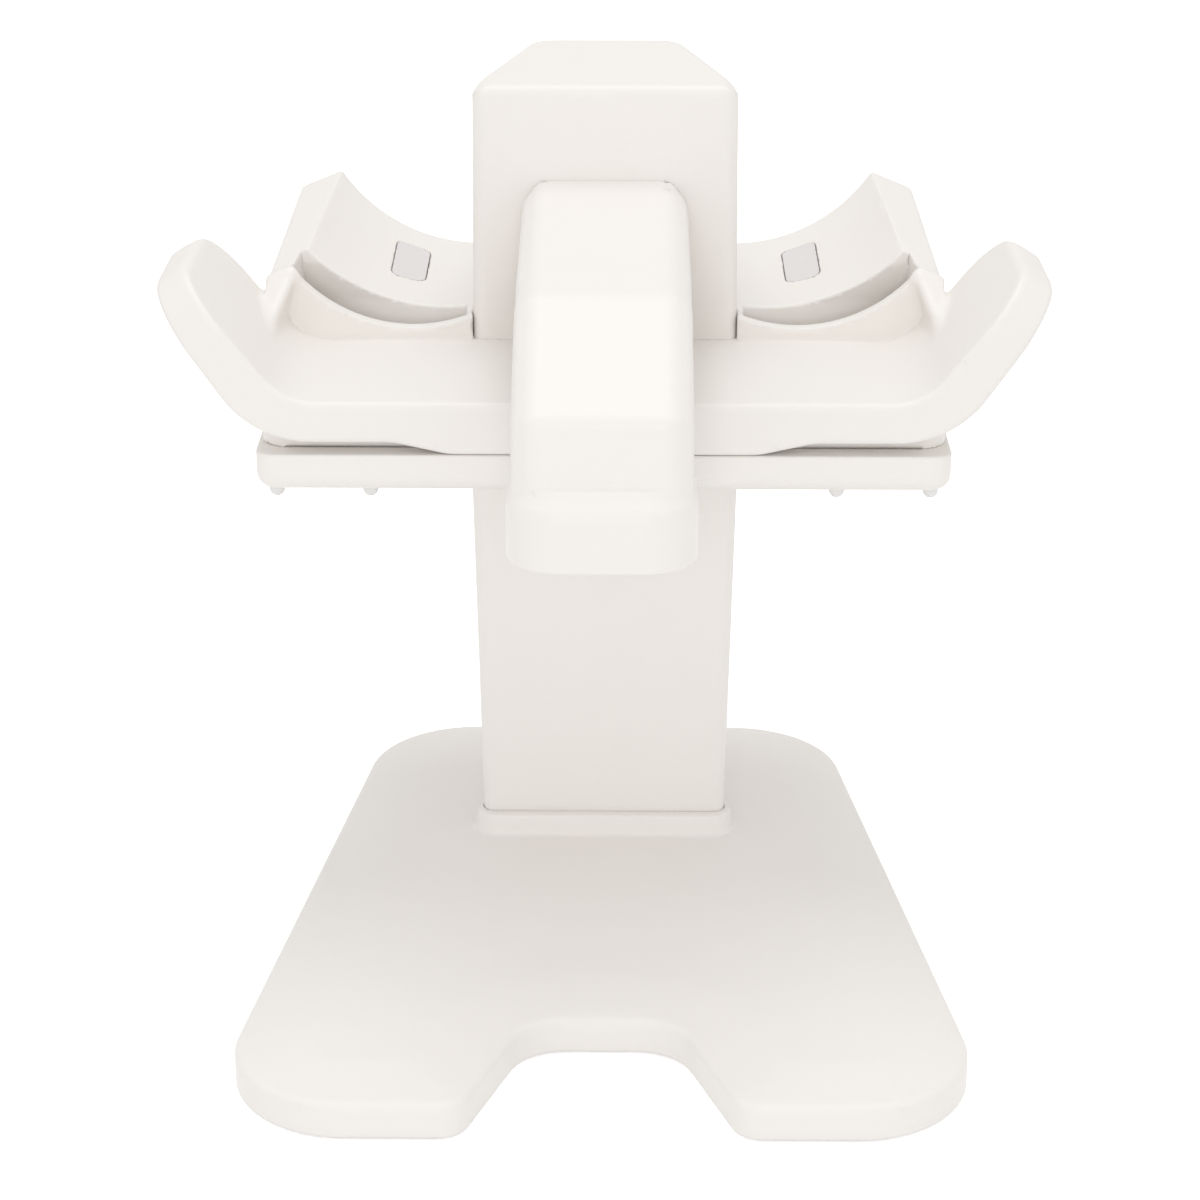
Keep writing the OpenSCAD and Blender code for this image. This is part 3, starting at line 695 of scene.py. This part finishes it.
# Screws: turned and cold headed steel, zinc plated, with pan heads. They hold the plate, the
# column, the tray, the head, the arm and its cover, and none shows from above.
BLOTCH_SCALE = 420.0
BLOTCH_DULLER = 0.2
ZINC_ROUGH = 0.22


def zinc(name):
    finish = Finish(name, Metallic=1.0)
    blotch = finish.node("TexNoise", Vector=finish.where(), Scale=BLOTCH_SCALE, Detail=4.0)
    finish.feed("Base Color", finish.tone(blotch, (0.52, 0.53, 0.55), (0.66, 0.67, 0.68)))
    finish.feed("Roughness", blotch * BLOTCH_DULLER + ZINC_ROUGH)
    finish.feed("Normal", finish.node("Bump", Strength=0.2, Distance=SKIN_DEPTH, Height=blotch))
    return finish.material


keep(zinc("screw_zinc"), "base_screws", "column_foot_screws", "column_head_screws", "tray_screws",
     "head_screws", "arm_root_screws", "arm_cover_screws")


# Studio: a white ground under an even white sky, with a soft lamp low in front and one overhead.
# The ground glows a little for the camera, and the sky is full white to it, so that both show
# white without more light on the stand. Places here are in metres.
FLOOR_HALF = 3
FLOOR_GLOW = 0.6
SKY_LIGHT = 0.83
SKY_SEEN = 1.0
AIM = (0, 0, 0.12)

floor_mesh = bpy.data.meshes.new("floor")
floor_mesh.from_pydata([(-FLOOR_HALF, -FLOOR_HALF, 0), (FLOOR_HALF, -FLOOR_HALF, 0),
                        (FLOOR_HALF, FLOOR_HALF, 0), (-FLOOR_HALF, FLOOR_HALF, 0)], [], [(0, 1, 2, 3)])
floor = bpy.data.objects.new("floor", floor_mesh)
bpy.context.scene.collection.objects.link(floor)
ground = Finish("white_floor", Roughness=0.9, Base_Color=(0.9, 0.9, 0.9, 1), Emission_Strength=FLOOR_GLOW)
by_camera = ground.node("LightPath")
rays = by_camera.out.node.outputs
by_mirror = Socket(ground.tree, rays["Is Glossy Ray"])
through_glass = Socket(ground.tree, rays["Is Transmission Ray"])
ground.feed("Emission Color", ground.tone(by_camera + by_mirror + through_glass, (0, 0, 0), (1, 1, 1)))
floor_mesh.materials.append(ground.material)

world = bpy.data.worlds.new("studio")
bpy.context.scene.world = world
world.use_nodes = True
sky = world.node_tree
sky.nodes.clear()
blend = sky.nodes.new("ShaderNodeMixShader")
sky.links.new(sky.nodes.new("ShaderNodeLightPath").outputs["Is Camera Ray"], blend.inputs[0])
for place, strength in ((1, SKY_LIGHT), (2, SKY_SEEN)):
    dome = sky.nodes.new("ShaderNodeBackground")
    dome.inputs["Color"].default_value = (1, 1, 1, 1)
    dome.inputs["Strength"].default_value = strength
    sky.links.new(dome.outputs[0], blend.inputs[place])
sky.links.new(blend.outputs[0], sky.nodes.new("ShaderNodeOutputWorld").inputs[0])


def soft_light(name, place, size, watts):
    lamp = bpy.data.lights.new(name, "AREA")
    lamp.shape, lamp.size, lamp.energy = "SQUARE", size, watts
    obj = bpy.data.objects.new(name, lamp)
    bpy.context.scene.collection.objects.link(obj)
    obj.location = place
    obj.rotation_euler = (Vector(AIM) - Vector(place)).to_track_quat("-Z", "Y").to_euler()


soft_light("front_light", (-0.05, -1.6, 0.55), size=0.5, watts=3.9)
soft_light("top_light", (0, 0.1, 1.5), size=0.8, watts=4.0)


# Camera: a long lens in front of the stand and above it, looking down on it. Its focal length
# and its shift are counted in pixels of the frame.
FRAME_PX = 1200
FOCAL_PX = 2906
SHIFT_PX = 8.2
SENSOR = 36.0
CAMERA_X = 0.0049
CAMERA_Y_MM = -854.3
CAMERA_Z = 0.455
LOOK_DOWN = 22.75
TURN = 0.595

camera_data = bpy.data.cameras.new("camera")
camera = bpy.data.objects.new("camera", camera_data)
bpy.context.scene.collection.objects.link(camera)
camera_data.sensor_width = SENSOR
camera_data.lens = FOCAL_PX / FRAME_PX * SENSOR
camera_data.clip_start = 0.01
camera_data.shift_x = SHIFT_PX / FRAME_PX
camera.location = (CAMERA_X, (CAMERA_Y_MM + COLUMN_FRONT) / MM_PER_M, CAMERA_Z)
camera.rotation_euler = (math.radians(90 - LOOK_DOWN), 0, math.radians(TURN))
bpy.context.scene.camera = camera
bpy.context.scene.view_settings.view_transform = "Standard"
